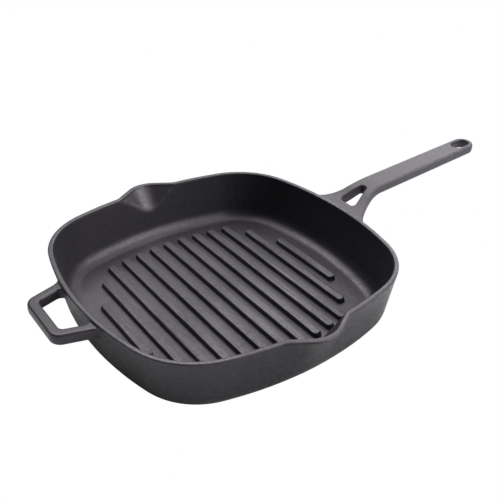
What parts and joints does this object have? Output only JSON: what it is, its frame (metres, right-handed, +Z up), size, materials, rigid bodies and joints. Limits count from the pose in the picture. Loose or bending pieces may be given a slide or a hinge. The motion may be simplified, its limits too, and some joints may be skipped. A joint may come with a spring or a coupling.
{
  "type": "grill pan",
  "caption": "Square cast-iron grill pan with a ridged floor, bowed sides, opposite pour spouts, a long forked handle with a hang hole and a short helper handle loop.",
  "frame": {"origin": "middle of the flat underside, where the pan rests on a hob", "axes": "+Z up, +X along the long handle towards its tip, pour spouts on +Y and -Y"},
  "size_m": [0.4522, 0.2812, 0.0707],
  "materials": {
    "cast_iron": "seasoned, matte to satin, fine sand-cast grain"
  },
  "bodies": {
    "root": {"base_plate": "cast_iron", "side_wall": "cast_iron", "pour_spout_back": "cast_iron", "pour_spout_front": "cast_iron", "grill_ridge_01": "cast_iron", "grill_ridge_02": "cast_iron", "grill_ridge_03": "cast_iron", "grill_ridge_04": "cast_iron", "grill_ridge_05": "cast_iron", "grill_ridge_06": "cast_iron", "grill_ridge_07": "cast_iron", "grill_ridge_08": "cast_iron", "grill_ridge_09": "cast_iron", "grill_ridge_10": "cast_iron", "grill_ridge_11": "cast_iron", "grill_ridge_12": "cast_iron", "grill_ridge_13": "cast_iron", "handle_fork": "cast_iron", "handle_grip": "cast_iron", "helper_handle": "cast_iron"}
  },
  "joints": []
}
